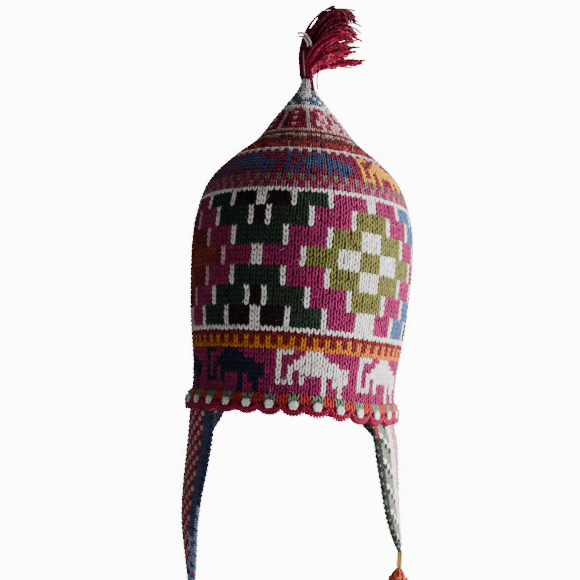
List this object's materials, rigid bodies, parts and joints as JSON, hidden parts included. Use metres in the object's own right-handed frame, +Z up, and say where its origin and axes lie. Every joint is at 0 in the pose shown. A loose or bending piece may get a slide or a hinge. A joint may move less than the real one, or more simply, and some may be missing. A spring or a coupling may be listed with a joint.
{
  "type": "chullo hat",
  "caption": "Knitted wool hat with a pointed crown, scalloped rim, bordered ear flaps and hanging yarn tassels.",
  "frame": {"origin": "centre of the head opening, level with the lowest points of the rim edging, where the hat sits on a head", "axes": "+Z up to the tip, -Y the front, +X the side that a front view shows on the right"},
  "size_m": [0.1935, 0.196, 0.5544],
  "materials": {
    "crown_knit": "multicolour stranded wool knit on a magenta ground",
    "edging_knit": "red and grey-green wool with white points",
    "left_flap_knit": "wool knit in upright stripes of navy, red and white, and dark green",
    "right_flap_knit": "wool knit in upright stripes of black, grey-green, white and pink",
    "border_yarn": "whipped wool yarn",
    "tie_yarn": "bound wool yarn",
    "flap_tassel_yarn": "loose twisted wool yarn",
    "top_tassel_yarn": "loose twisted wool yarn"
  },
  "bodies": {
    "root": {"crown": "crown_knit", "picot_edging": "edging_knit", "ear_flap_left": "left_flap_knit", "ear_flap_right": "right_flap_knit", "flap_border_left": "border_yarn", "flap_border_right": "border_yarn", "tassel_tie_left": "tie_yarn", "tassel_tie_right": "tie_yarn", "flap_tassel_left": "flap_tassel_yarn", "flap_tassel_right": "flap_tassel_yarn", "top_tassel": "top_tassel_yarn"}
  },
  "joints": []
}
